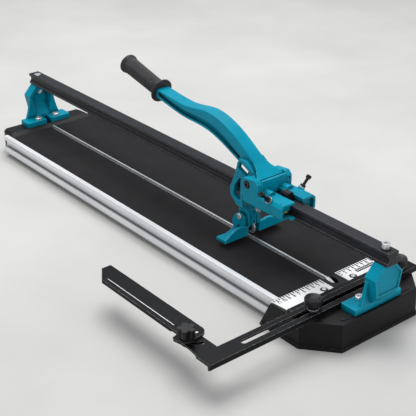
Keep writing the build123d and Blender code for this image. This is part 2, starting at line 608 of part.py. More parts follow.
def handle_leg():
    """Pierced leg beside the rail, tapering in to the block underneath."""
    outline = [(-178.5, 182), (-173.5, 162.5), (-160.5, 130.5), (-161.5, 117.5), (-174.0, 106.5),
               (-176.0, 103.5), (-191.0, 103.5), (-190.5, 115), (-190.0, 134), (-194.5, 150), (-205, 157),
               (-226, 157), (-226, 170), (-212, 179), (-197, 188.5), (-185.5, 189)]
    leg = prism_x(outline, LEG_INNER, LEG_OUTER)
    leg = fillet(leg.edges().filter_by(Axis.X), 1.2)
    long_window = prism_x([(-184.5, 156.7), (-190.0, 151.1), (-186.3, 134.2), (-186.8, 116.4),
                           (-179.4, 113.0), (-168.0, 119.5), (-170.8, 136.7)], 0, 40)
    leg -= fillet(long_window.edges().filter_by(Axis.X), 1.2)
    upper = Plane(origin=(0, 0, 105.0)) * Pos((LEG_INNER + LEG_OUTER) / 2, -183.2) * Rectangle(
        LEG_OUTER - LEG_INNER, 14.5)
    lower = Plane(origin=(0, 0, 95.0)) * Pos(11.6, -190.5) * Rectangle(3.6, 16.0)
    return leg + loft([upper, lower])


def leg_pocket():
    """Deep pocket at the top of a leg, sunk into the side of the arch's root."""
    pocket = prism_x([(-184.0, 184.1), (-207.7, 173.3), (-201.9, 161.5), (-179.0, 171.2)], 6.0, 40)
    return fillet(pocket.edges().filter_by(Axis.X), 1.2)


def handle_block():
    """Block under the rail that joins the legs and holds the wheel's holder and the foot's hinge."""
    yoke = block(-13.4, 13.4, -199.0, -181.0, 93.0, 99.0)
    body = prism_x([(-199, 67), (-199, 94), (-174, 94), (-174, 76), (-182, 67)], -BLOCK_HALF, BLOCK_HALF)
    body = fillet(body.edges().filter_by(Axis.X).group_by(Axis.Z)[0], 2.0)
    for x in (-6.2, 6.2):
        body -= block(x - 1.3, x + 1.3, -200.0, -197.6, 60.0, 86.0)
    body -= block(-5.2, 5.2, -196.7, -186.8, 60.0, 80.2)
    body -= block(-1.9, 1.9, -206.0, -178.0, 60.0, 75.5)
    yoke -= rod_y(6.0, 95.2, 2.5, -200.0, -188.0)
    return body + yoke - rod_y(6.0, 95.2, 2.5, -200.0, -188.0)


def handle_arm():
    """Cast handle: hub, legs, arch and the bar that the grip is pushed onto."""
    arch = side_extrude(handle_arch(), -12.5, 12.5)
    arch = fillet(arch.edges().filter_by(GeomType.BSPLINE).group_by(Axis.Z)[-1], 2.6)
    channel = side_extrude(handle_channel(), 6.0, 14.0)
    arch -= both_sides(channel)
    root = prism_x([(-190, 182), (-212, 186.5), (-237.5, 171), (-237.5, 163), (-231, 156), (-221, 152),
                    (-210, 160), (-198, 172)], -26.5, 26.5)
    root &= prism_z([(-12.5, -185), (12.5, -185), (12.5, -208), (16.0, -219), (26.0, -233), (26.5, -240),
                     (-26.5, -240), (-26.0, -233), (-16.0, -219), (-12.5, -208)], 140, 200)
    hub = rod_x(PIVOT_Y, PIVOT_Z, 11.0, -26.5, 26.5)
    handle = arch + root + hub + both_sides(handle_leg()) + handle_block()
    bar = extrude(grip_plane(-4.0) * Circle(GRIP_BORE), amount=89.0)
    handle += bar
    handle -= both_sides(leg_pocket())
    handle -= rod_x(PIVOT_Y, PIVOT_Z, PIVOT_RADIUS + RUNNING_FIT, -50, 50)
    return handle - rod_x(*FOOT_PIVOT, 4.0, -50, 50)


def handle_grip():
    """Soft grip with a guard flange at the front and a flared end."""
    last = GRIP_LENGTH
    outline = [(0, 0), (0, 22.0), (3.6, 22.0), (6.0, 17.0), (12.0, 14.6), (last * 0.55, 15.2),
               (last - 12, 15.6), (last - 5, 18.0), (last - 1.2, 17.6), (last, 15.8), (last, 0)]
    section = Polygon(*[(radius, along) for along, radius in outline], align=None)
    grip = revolve(Plane.XZ * section, Axis.Z)
    grip = fillet(grip.edges().filter_by(GeomType.CIRCLE).group_by(SortBy.RADIUS)[-1], 1.2)
    grip -= Cylinder(GRIP_BORE, 85.5, align=(Align.CENTER, Align.CENTER, Align.MIN))
    return grip_plane(0.4).location * grip


# ---- wheel and its holder ----
def wheel_holder():
    """Black stem pushed up into the block, slotted for the scoring wheel."""
    body = prism_x([(-196.5, 60.0), (-194.5, 57.0), (-191.5, 57.0), (-187.0, 60.0), (-187.0, 80.0),
                    (-196.5, 80.0)], -5.0, 5.0)
    body -= block(-1.7, 1.7, -210, -180, 50, 75)
    return body - rod_x(*WHEEL_AXLE, 2.0, -20, 20)


def holder_screw():
    """Bright hexagon screw on the front of the block, beside the holder's stem."""
    face = Plane(origin=(6.0, -199.0, 95.2), x_dir=(1, 0, 0), z_dir=(0, -1, 0))
    head = extrude(face * RegularPolygon(4.4, 6, major_radius=False), amount=4.6)
    head = chamfer(head.edges().group_by(Axis.Y)[0], 0.5)
    return head + rod_y(6.0, 95.2, 2.45, -199.0, -189.0)


def scoring_wheel():
    """Tungsten wheel with a bevelled cutting edge."""
    half = 1.1
    bore = 2.0 + RUNNING_FIT
    outline = [(bore, -half), (WHEEL_RADIUS - 2.2, -half), (WHEEL_RADIUS, 0), (WHEEL_RADIUS - 2.2, half),
               (bore, half)]
    disc = revolve(Plane.XZ * Polygon(*outline, align=None), Axis.Z)
    return Pos(0, *WHEEL_AXLE) * Rot(0, 90, 0) * disc


def wheel_axle():
    """Pin through the holder that the wheel turns on."""
    return rod_x(*WHEEL_AXLE, 2.0, -4.8, 4.8)


# ---- breaking foot ----
def foot_bolt():
    """Hinge bolt of the breaking foot, through both ears and the block."""
    y, z = FOOT_PIVOT
    head = rod_x(y, z, 5.6, -EAR_OUTER - 3.4, -EAR_OUTER - 0.4)
    head = fillet(head.edges().group_by(Axis.X)[0], 1.2)
    return head + rod_x(y, z, 4.0, -EAR_OUTER - 0.4, EAR_OUTER + 7.0)


def foot_nut():
    y, z = FOOT_PIVOT
    face = Plane(origin=(EAR_OUTER + 0.4, y, z), z_dir=(1, 0, 0)) * RegularPolygon(
        5.8, 6, major_radius=False)
    return extrude(face, amount=6.0) - rod_x(y, z, 4.0, EAR_OUTER, 50)


def breaking_foot():
    """Winged presser with two hinge ears, a ridged front web and a cross bar behind the wheel."""
    ear = prism_x([(-195.5, PRESS_FACE), (-195.5, 70.0), (-194.8, 84.5), (-189.0, 89.6), (-181.0, 90.2),
                   (-171.0, 83.5), (-163.5, 71.0), (-168.0, PRESS_FACE)], EAR_INNER, EAR_OUTER)
    ear = fillet(ear.edges().filter_by(Axis.X).sort_by(Axis.Z)[2:], 1.5)
    y, z = FOOT_PIVOT
    slot = block(10, 40, -181.8, -177.2, 60.5, 65.5)
    slot += rod_x(-179.5, 60.5, 2.3, 10, 40) + rod_x(-179.5, 65.5, 2.3, 10, 40)
    ear -= slot
    wing = prism_z([(EAR_INNER, -199.5), (WING_TIP, -199.5), (WING_TIP, -176.0), (42, -177.0),
                    (EAR_OUTER, -168.0), (EAR_INNER, -168.0)], PRESS_FACE, PRESS_FACE + 5.0)
    web = prism_y([(EAR_INNER, PRESS_FACE), (WING_TIP, PRESS_FACE), (WING_TIP, 58.0), (46.5, 66.8),
                   (38.5, 71.0), (30.0, 71.8), (EAR_OUTER, 69.5), (EAR_INNER, 69.5)], -199.5, -194.5)
    bar = prism_x([(-176.5, PRESS_FACE + 1), (-168.5, PRESS_FACE + 1), (-169.5, 61.0), (-175.5, 61.0)],
                  -EAR_INNER - 1, EAR_INNER + 1)
    foot = both_sides(ear + wing + web) + bar
    return foot - rod_x(y, z, 4.0 + RUNNING_FIT, -50, 50)


def foot_pads():
    """Thin rubber faces under the wings."""
    plan = [(13.0, -198.8), (WING_TIP - 0.6, -198.8), (WING_TIP - 0.6, -176.8), (42, -177.8), (13.0, -170.0)]
    pad = prism_z(plan, PRESS_FACE - 1.2, PRESS_FACE)
    return [pad, mirror(pad, about=Plane.YZ)]


# ---- sliding fence ----
def swing_point(radius, degrees):
    """Point at a radius from the fence rivet, turned from the stud's rest direction."""
    angle = radians(SWING_REST + degrees)
    return FENCE_PIVOT[0] + radius * cos(angle), FENCE_PIVOT[1] + radius * sin(angle)


def arc_band(half, first, last):
    """Flat band round the fence rivet, between two angles."""
    middle = (first + last) / 2
    inner, outer = SWING_RADIUS - half, SWING_RADIUS + half
    inside = ThreePointArc(*[swing_point(inner, angle) for angle in (first, middle, last)])
    outside = ThreePointArc(*[swing_point(outer, angle) for angle in (last, middle, first)])
    return make_face([inside, Line(swing_point(inner, last), swing_point(outer, last)), outside,
                      Line(swing_point(outer, first), swing_point(inner, first))])


def swing_slot():
    """Arc slot in the link plate, centred on the fence rivet."""
    first, last = SWING_RANGE
    band = Plane(origin=(0, 0, 40)) * arc_band(SWING_SLOT_HALF, first, last)
    slot = extrude(band, amount=30, dir=(0, 0, 1))
    for degrees in SWING_RANGE:
        slot += rod_z(*swing_point(SWING_RADIUS, degrees), SWING_SLOT_HALF, 40, 70)
    return slot


def fence_arm():
    """Slotted channel across the front shoe, ending in the link that carries the side fence."""
    low = SHOE_TOP + 0.5
    plate_z = FENCE_TOP - FENCE_PLATE
    arm = block(ARM_LEFT, ARM_RIGHT, ARM_FACE_Y, ARM_BACK_Y, plate_z, FENCE_TOP)
    arm += block(ARM_LEFT, ARM_RIGHT, ARM_FACE_Y, ARM_FACE_Y + 3.5, low, FENCE_TOP)
    arm += block(ARM_LEFT + 38, ARM_RIGHT, ARM_BACK_Y - 3.0, ARM_BACK_Y, low, FENCE_TOP)
    px, py = FENCE_PIVOT
    root_y = ARM_BACK_Y - 4
    link = make_face([Line((ARM_LEFT, root_y), (px + 4, root_y)),
                      Line((px + 4, root_y), (px + 4, py + 22)),
                      ThreePointArc((px + 4, py + 22), (px - 3, py + 24), (px - 10, py + 22)),
                      Line((px - 10, py + 22), (px - 30, py + 16)),
                      Line((px - 30, py + 16), (px - 32.5, py + 11)),
                      Line((px - 32.5, py + 11), (px - 29.5, py - 4)),
                      ThreePointArc((px - 29.5, py - 4), (px - 29, py - 22), (ARM_LEFT, root_y))])
    arm += extrude(Plane(origin=(0, 0, plate_z)) * link, amount=FENCE_PLATE, dir=(0, 0, 1))
    start, end = SLOT_ENDS
    slot = block(start + SLOT_HALF, end - SLOT_HALF, SLOT_Y - SLOT_HALF, SLOT_Y + SLOT_HALF, 40, 60)
    for x in (start + SLOT_HALF, end - SLOT_HALF):
        slot += rod_z(x, SLOT_Y, SLOT_HALF, 40, 60)
    return arm - slot - swing_slot() - rod_z(px, py, 2.5, 40, 60)


def clamp_studs():
    """Threaded studs in the shoe that stand up through the arm's slot."""
    return [rod_z(side * STUD_X, SLOT_Y, STUD_RADIUS - 0.05, 20.0, 68.0) for side in (-1, 1)]


def clamp_washer(side):
    """Washer under a clamp knob."""
    return rod_z(side * STUD_X, SLOT_Y, 9.0, FENCE_TOP + 0.3, FENCE_TOP + 1.6) - rod_z(
        side * STUD_X, SLOT_Y, STUD_RADIUS + 0.2, 50, 60)


def clamp_knob(side):
    """Round knob with a dished top, a fluted rim and a turned neck."""
    low = FENCE_TOP + 1.9
    outline = [(0, 0), (8.5, 0), (8.5, 4.0), (11.0, 6.0), (13.6, 7.5), (13.9, 15.5), (12.6, 17.6),
               (10.6, 17.2), (7.5, 15.6), (0, 15.0)]
    knob = revolve(Plane.XZ * Polygon(*outline, align=None), Axis.Z)
    flutes = 18
    for i in range(flutes):
        angle = 2 * pi * i / flutes
        knob -= rod_z(14.6 * cos(angle), 14.6 * sin(angle), 1.25, 6.5, 20)
    knob -= rod_z(0, 0, STUD_RADIUS, -1, 10.6)
    return Pos(side * STUD_X, SLOT_Y, low) * knob


def fence_rivet():
    """Rivet in the link plate that the side fence turns on."""
    plate_z = FENCE_TOP - FENCE_PLATE
    head = rod_z(*FENCE_PIVOT, 4.5, plate_z - 1.6, plate_z)
    return head + rod_z(*FENCE_PIVOT, 2.5, plate_z, SIDE_TOP - 0.4)


def fence_stud():
    """Bolt through the arc slot, with a curved clamp plate for a head under the link plate."""
    x, y = swing_point(SWING_RADIUS, 0)
    plate_z = FENCE_TOP - FENCE_PLATE
    band = Plane(origin=(0, 0, plate_z - 3.4)) * arc_band(5.2, -10.0, 66.0)
    plate = extrude(band, amount=3.0, dir=(0, 0, 1))
    collar = rod_z(x, y, 5.0, plate_z - 3.4, plate_z - 0.4)
    return plate + collar + rod_z(x, y, SWING_STUD, plate_z - 1, 72.0)


def side_fence():
    """Long bar that squares the tile, swinging over the link plate."""
    px, py = FENCE_PIVOT
    sx, sy = swing_point(SWING_RADIUS, 0)
    top_low = FENCE_TOP + 0.4
    chamfer_x, chamfer_y = SIDE_LEFT + 19, SIDE_REAR - 28
    outline = make_face([Line((SIDE_RIGHT, py + 6), (SIDE_RIGHT, SIDE_REAR)),
                         Line((SIDE_RIGHT, SIDE_REAR), (chamfer_x, SIDE_REAR)),
                         Line((chamfer_x, SIDE_REAR), (SIDE_LEFT, chamfer_y)),
                         Line((SIDE_LEFT, chamfer_y), (SIDE_LEFT, sy + 18)),
                         Line((SIDE_LEFT, sy + 18), (sx - 8, sy)),
                         ThreePointArc((sx - 8, sy), (sx - 5.66, sy - 5.66), (sx, sy - 8)),
                         Line((sx, sy - 8), (px, py - 10)),
                         ThreePointArc((px, py - 10), (px + 10.5, py - 5), (SIDE_RIGHT, py + 6))])
    fence = extrude(Plane(origin=(0, 0, top_low)) * outline, amount=SIDE_TOP - top_low, dir=(0, 0, 1))
    fence += block(SIDE_LEFT, SIDE_LEFT + 3.2, -348.5, chamfer_y, SIDE_EDGE, top_low)
    fence += block(SIDE_RIGHT - 3.2, SIDE_RIGHT, -354, SIDE_REAR, SIDE_BOTTOM, top_low)
    fence -= block(-282.2, -280.8, -346, -179, SIDE_TOP - 1.2, SIDE_TOP + 1)
    fence -= rod_z(px, py, 2.5 + RUNNING_FIT, 40, 70)
    return fence - rod_z(sx, sy, SWING_STUD, 40, 70)


def fence_knob():
    """Lobed hand knob that locks the side fence."""
    low = SIDE_TOP + 0.3
    knob = rod_z(0, 0, 9.0, 0, 8.0) + rod_z(0, 0, 12.0, 0, 2.5)
    lobes = 5
    outline = Circle(9.0)
    for i in range(lobes):
        angle = 2 * pi * i / lobes
        outline += Pos(8.6 * cos(angle), 8.6 * sin(angle)) * Circle(5.2)
    star = extrude(Plane(origin=(0, 0, 7.0)) * outline, amount=12.0)
    knob += chamfer(star.edges().group_by(Axis.Z)[-1], 0.8)
    knob -= rod_z(0, 0, SWING_STUD + RUNNING_FIT, -1, 12.0)
    return Pos(*swing_point(SWING_RADIUS, 0), low) * knob


def nodes():
    """Every named piece: one shape, or a list of identical pieces."""
    return {
        "base_extrusion": base_extrusion(), "front_shoe": front_shoe(), "rear_shoe": rear_shoe(),
        "shoe_screws": shoe_screws(), "left_rubber_pad": rubber_pad(-1), "right_rubber_pad": rubber_pad(1),
        "breaking_bar": breaking_bar(), "left_floor_strip": floor_strip(-92.0),
        "centre_floor_strip": floor_strip(0), "right_floor_strip": floor_strip(92.0),
        "left_ruler": ruler(-1), "right_ruler": ruler(1), "ruler_screws": ruler_screws(),
        "ruler_washers": ruler_washers(), "backstop_bar": backstop_bar(),
        "backstop_screws": backstop_screws(), "front_bracket": turned(bracket()),
        "rear_bracket": bracket(), "front_bracket_screws": bracket_screws(-1),
        "rear_bracket_screws": bracket_screws(1), "rail": rail(), "front_rail_bolt": front_rail_bolt(),
        "front_rail_washer": front_rail_washer(), "front_rail_nut": rail_nut(-RAIL_BOLT_Y),
        "rear_rail_bolt": rear_rail_bolt(), "rear_rail_nut": rail_nut(RAIL_BOLT_Y),
        "clamp_studs": clamp_studs(), "carriage_body": carriage_body(),
        "front_left_roller": roller(-1, ROLLER_YS[0]), "front_right_roller": roller(1, ROLLER_YS[0]),
        "rear_left_roller": roller(-1, ROLLER_YS[1]), "rear_right_roller": roller(1, ROLLER_YS[1]),
        "roller_axles": roller_axles(), "adjusting_screws": adjusting_screws(),
        "adjusting_washers": adjusting_washers(), "adjusting_nuts": adjusting_nuts(),
        "guide_plugs": guide_plugs(), "rail_wiper": rail_wiper(),
        "pivot_bolt": pivot_bolt(), "pivot_nut": pivot_nut(), "handle_arm": handle_arm(),
        "handle_grip": handle_grip(), "wheel_holder": wheel_holder(), "holder_screw": holder_screw(),
        "scoring_wheel": scoring_wheel(), "wheel_axle": wheel_axle(), "foot_bolt": foot_bolt(),
        "foot_nut": foot_nut(), "breaking_foot": breaking_foot(),
        "foot_pads": foot_pads(), "fence_arm": fence_arm(), "left_clamp_washer": clamp_washer(-1),
        "right_clamp_washer": clamp_washer(1), "left_clamp_knob": clamp_knob(-1),
        "right_clamp_knob": clamp_knob(1), "fence_rivet": fence_rivet(), "fence_stud": fence_stud(),
        "side_fence": side_fence(), "fence_knob": fence_knob(),
    }


def main():
    os.makedirs("parts", exist_ok=True)
    for name, shape in nodes().items():
        if isinstance(shape, list):
            solids = [solid for piece in shape for solid in piece.solids()]
            shape = Compound(children=solids)
        export_step(shape, os.path.join("parts", name + ".step"))
        print(name, round(shape.volume))


if __name__ == "__main__":
    main()
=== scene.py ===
import bmesh
import bpy
import json
import math
from mathutils import Matrix, Vector


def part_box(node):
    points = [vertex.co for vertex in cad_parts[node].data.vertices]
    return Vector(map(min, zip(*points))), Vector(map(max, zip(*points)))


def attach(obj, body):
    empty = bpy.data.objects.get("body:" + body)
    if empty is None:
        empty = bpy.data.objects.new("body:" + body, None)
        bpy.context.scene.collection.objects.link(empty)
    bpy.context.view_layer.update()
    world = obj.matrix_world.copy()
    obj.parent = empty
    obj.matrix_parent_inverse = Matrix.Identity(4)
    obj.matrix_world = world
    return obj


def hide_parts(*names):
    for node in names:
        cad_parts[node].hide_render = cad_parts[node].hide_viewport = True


# Finish of the manual tile cutter. Lengths are in metres unless a comment says mm.

MM = 0.001

# ---- camera and studio ----
CAMERA_AT = (-1.0329, -1.3420, 0.8799)
CAMERA_TILT = 26.9                 # degrees below the horizon
CAMERA_TURN = 39.29                # degrees from +Y towards +X
CAMERA_ROLL = 0.07                 # degrees
CAMERA_LENS = 90.03                # mm
SENSOR_WIDTH = 36.0                # mm
CAMERA_CLIP = (0.05, 40.0)

SKY_COLOUR = (0.92, 0.95, 1.0, 1)
SKY_STRENGTH = 0.46
FLOOR_HALF = 6.0                   # half the floor's side

# name, position, point it is aimed at, watts, side of the square
LAMPS = [
    ("key", (0.35, 0.7, 2.4), (0, 0, 0.1), 66.0, 1.9),
    ("fill", (-1.9, -1.0, 1.3), (0, 0, 0.1), 12.0, 1.4),
    ("front", (0.9, -2.2, 1.2), (0, -0.2, 0.1), 12.0, 1.2),
]

# ---- materials ----
NOISE_ROUGHNESS = 0.55
MOTTLE_DETAIL = 4.0
MOTTLE_SPREAD = (0.3, 0.7, 0.0, 1.0)     # noise in, then the share of the light colour
GRAIN_DETAIL = 2.0
GRAIN_SPREAD = (0.25, 0.75)        # noise at the least and at the most roughness
BEVEL_SAMPLES = 4
CREVICE_SAMPLES = 6
# Edges get a lighter colour: partly edge wear, partly a painted highlight.
EDGE_WEAR_AND_HIGHLIGHT_LEAN = (0.985, 0.85)          # normals' dot product where the edge wear and painted highlight start, and where they are full
EDGE_WEAR_AND_HIGHLIGHT_REACH = 1.6                   # width of the edge wear and painted highlight as a multiple of the rounding
WEAR_AND_HIGHLIGHT_PATCH_SCALE = 160.0
WEAR_AND_HIGHLIGHT_PATCH_SPREAD = (0.4, 0.6, 0.25, 1.0)    # noise in, then the share of the edge wear and painted highlight that is left
CREVICE_SPREAD = (0.25, 0.85)      # openness at full painted shade, and at none
PAINTED_SHADE_TONE = 0.12                 # brightness of the painted shade as a share of the dark colour

# ---- grip ----
GRIP_ANGLE = math.radians(13.5)
GRIP_FLANGE_AT = (0.0, 0.0496, 0.2333)
GRIP_GAP = 0.4 * MM                # between the arch and the flange
GRIP_LONG = 106.0 * MM
GRIP_RIBS = 30
GRIP_AROUND = 180                  # vertices in a ring
# All below in mm, measured from the flange.
GRIP_STEP = 0.5                    # between rings
GRIP_PROFILE = [                   # distance, radius
    (0.0, 20.6), (0.6, 21.8), (2.8, 21.8), (4.0, 19.5), (6.0, 16.8), (9.0, 15.2), (12.0, 14.5),
    (60.0, 15.0), (93.0, 15.5), (99.0, 17.2), (101.5, 17.8), (104.0, 17.5), (106.0, 15.6)]
GRIP_END = [                       # radius, distance: the dished end
    (14.6, 106.0), (13.0, 105.6), (12.4, 105.0), (10.0, 104.9), (4.0, 104.9)]
RIBBED = (14.0, 97.0)
RIB_DEEP = 1.0
PANEL_SPAN = (32.0, 80.0)
PANEL_SIDE = 0.80                  # |cos| round the grip beyond which a side panel lies
PANEL_DEEP = 0.5
PANEL_RIM = 2.0
WAVE_HIGH = 0.45
WAVE_RATE = 1.6                    # radians per mm along the grip
GROOVES = [(97.6, 98.7), (12.6, 13.4)]
GROOVE_DEEP = 0.7

# ---- printing on the scales ----
TICK_STEP = 5 * MM
TICK_SHORT = 5.2 * MM
TICK_LONG = 8.2 * MM
TICK_WIDE = 2.4 * MM
TICK_MARGIN = 0.3 * MM             # from the scale's rear edge to the marks
TICK_PROUD = 0.06 * MM
INK_SINK = 0.02 * MM               # how far a printed shape reaches into its scale
DIGIT_STEP = 10                    # mm
DIGIT_LAST = 11
DIGIT_SIZE = 8.4 * MM
DIGIT_WEIGHT = 0.16 * MM           # how far the numbers' strokes are thickened
DIGIT_DROP = 13.4 * MM             # from the scale's rear edge to the numbers' baseline
DIGIT_INSET = (2 * MM, 3 * MM)     # no numbers this near a scale's inner and outer end

LABEL_X = (0.046, 0.087)
LABEL_Y = (-0.3945, -0.3870)
LABEL_PROUD = 0.04 * MM
BAR_COUNT = 9
BAR_LEFT = 0.0485
BAR_STEP = 4.1                     # mm
BAR_LONG = 2.4 * MM
BAR_Y = (-0.3917, -0.3895)
BAR_PROUD = 0.07 * MM

# ---- painted highlight: bright strip in the side fence's groove ----
LINE_X = (-0.2820, -0.2810)
LINE_Y = (-0.3455, -0.1795)
LINE_DROP = (1.2 * MM, 0.1 * MM)   # its foot and its top, below the fence's top

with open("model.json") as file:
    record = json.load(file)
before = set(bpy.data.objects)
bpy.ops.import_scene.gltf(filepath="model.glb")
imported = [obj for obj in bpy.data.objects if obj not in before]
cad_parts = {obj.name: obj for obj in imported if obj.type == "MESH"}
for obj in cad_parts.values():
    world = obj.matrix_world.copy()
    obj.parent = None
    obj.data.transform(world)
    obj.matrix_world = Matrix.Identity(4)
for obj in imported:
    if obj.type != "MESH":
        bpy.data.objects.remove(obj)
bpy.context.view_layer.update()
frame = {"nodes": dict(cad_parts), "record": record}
nodes = frame["nodes"]
scene = bpy.context.scene


# ---- making materials ----
def linear(red, green, blue):
    """Linear colour from 0-255 display values."""
    def one(value):
        value = value / 255
        return value / 12.92 if value <= 0.04045 else ((value + 0.055) / 1.055) ** 2.4
    return (one(red), one(green), one(blue), 1.0)


def noise_field(tree, scale, stretch=(1, 1, 1), detail=3.0):
    """Noise in the piece's own coordinates, stretched along its axes."""
    coordinates = tree.nodes.new("ShaderNodeTexCoord")
    mapping = tree.nodes.new("ShaderNodeMapping")
    mapping.inputs["Scale"].default_value = stretch
    texture = tree.nodes.new("ShaderNodeTexNoise")
    texture.inputs["Scale"].default_value = scale
    texture.inputs["Detail"].default_value = detail
    texture.inputs["Roughness"].default_value = NOISE_ROUGHNESS
    tree.links.new(coordinates.outputs["Object"], mapping.inputs["Vector"])
    tree.links.new(mapping.outputs["Vector"], texture.inputs["Vector"])
    return texture.outputs["Fac"]


def spread(tree, value, low_in, high_in, low_out, high_out):
    """Remaps a value from one range to another, clamped."""
    remap = tree.nodes.new("ShaderNodeMapRange")
    remap.inputs["From Min"].default_value = low_in
    remap.inputs["From Max"].default_value = high_in
    remap.inputs["To Min"].default_value = low_out
    remap.inputs["To Max"].default_value = high_out
    tree.links.new(value, remap.inputs["Value"])
    return remap.outputs["Result"]


def blend_colour(tree, factor, first, second):
    """Mixes two colours, each an RGBA or a socket."""
    mix = tree.nodes.new("ShaderNodeMix")
    mix.data_type = "RGBA"
    tree.links.new(factor, mix.inputs["Factor"])
    for socket, value in ((mix.inputs[6], first), (mix.inputs[7], second)):
        if isinstance(value, tuple):
            socket.default_value = value
        else:
            tree.links.new(value, socket)
    return mix.outputs[2]


def rounded_normal(tree, radius):
    """Normal as if every edge were rounded by the radius."""
    bevel = tree.nodes.new("ShaderNodeBevel")
    bevel.samples = BEVEL_SAMPLES
    bevel.inputs["Radius"].default_value = radius
    return bevel.outputs["Normal"]


def edge_mask(tree, width, amount):
    """Mask for edge wear and painted highlight: up to amount on outer and inner edges, 0 on
    flats, from how far a rounded normal leans.
    """
    compare = tree.nodes.new("ShaderNodeVectorMath")
    compare.operation = "DOT_PRODUCT"
    geometry = tree.nodes.new("ShaderNodeNewGeometry")
    tree.links.new(rounded_normal(tree, width), compare.inputs[0])
    tree.links.new(geometry.outputs["Normal"], compare.inputs[1])
    return spread(tree, compare.outputs["Value"], *EDGE_WEAR_AND_HIGHLIGHT_LEAN, 0.0, amount)


def crevice_mask(tree, reach, amount):
    """Painted shade: up to amount deep in recesses and corners, 0 on open faces."""
    hollow = tree.nodes.new("ShaderNodeAmbientOcclusion")
    hollow.samples = CREVICE_SAMPLES
    hollow.inputs["Distance"].default_value = reach
    return spread(tree, hollow.outputs["AO"], *CREVICE_SPREAD, amount, 0.0)


def surface(name, dark, light, rough, mottle=25.0, grain=700.0, stretch=(1, 1, 1), bump=0.15,
            bump_depth=0.00015, metallic=0.0, coat=0.0, coat_rough=0.2, edge=None,
            edge_amount=0.5, specular=0.5, rounding=0.0006, painted_shade=0.0, painted_shade_reach=0.012):
    """Principled material: mottled, grained, lighter at its edges with wear and a painted
    highlight, and darkened in its crevices with painted shade.
    """
    material = bpy.data.materials.new(name)
    material.use_nodes = True
    tree = material.node_tree
    shader = tree.nodes["Principled BSDF"]
    shader.inputs["Metallic"].default_value = metallic
    shader.inputs["Specular IOR Level"].default_value = specular
    shader.inputs["Coat Weight"].default_value = coat
    shader.inputs["Coat Roughness"].default_value = coat_rough

    patches = noise_field(tree, mottle, detail=MOTTLE_DETAIL)
    fine = noise_field(tree, grain, stretch, detail=GRAIN_DETAIL)
    colour = blend_colour(tree, spread(tree, patches, *MOTTLE_SPREAD), dark, light)
    # Lighter edges, made patchy by noise: edge wear together with a painted highlight.
    if edge is not None:
        edge_wear_and_highlight = tree.nodes.new("ShaderNodeMath")
        edge_wear_and_highlight.operation = "MULTIPLY"
        tree.links.new(edge_mask(tree, rounding * EDGE_WEAR_AND_HIGHLIGHT_REACH, edge_amount), edge_wear_and_highlight.inputs[0])
        patchy = spread(tree, noise_field(tree, WEAR_AND_HIGHLIGHT_PATCH_SCALE), *WEAR_AND_HIGHLIGHT_PATCH_SPREAD)
        tree.links.new(patchy, edge_wear_and_highlight.inputs[1])
        colour = blend_colour(tree, edge_wear_and_highlight.outputs[0], colour, edge)
    # Painted shade: recesses and corners darkened toward a dark copy of the colour.
    if painted_shade > 0:
        shade = tuple(part * PAINTED_SHADE_TONE for part in dark[:3]) + (1.0,)
        colour = blend_colour(tree, crevice_mask(tree, painted_shade_reach, painted_shade), colour, shade)
    tree.links.new(colour, shader.inputs["Base Color"])
    tree.links.new(spread(tree, fine, *GRAIN_SPREAD, *rough), shader.inputs["Roughness"])

    raised = tree.nodes.new("ShaderNodeBump")
    raised.inputs["Strength"].default_value = bump
    raised.inputs["Distance"].default_value = bump_depth
    tree.links.new(fine, raised.inputs["Height"])
    tree.links.new(rounded_normal(tree, rounding), raised.inputs["Normal"])
    tree.links.new(raised.outputs["Normal"], shader.inputs["Normal"])
    return material


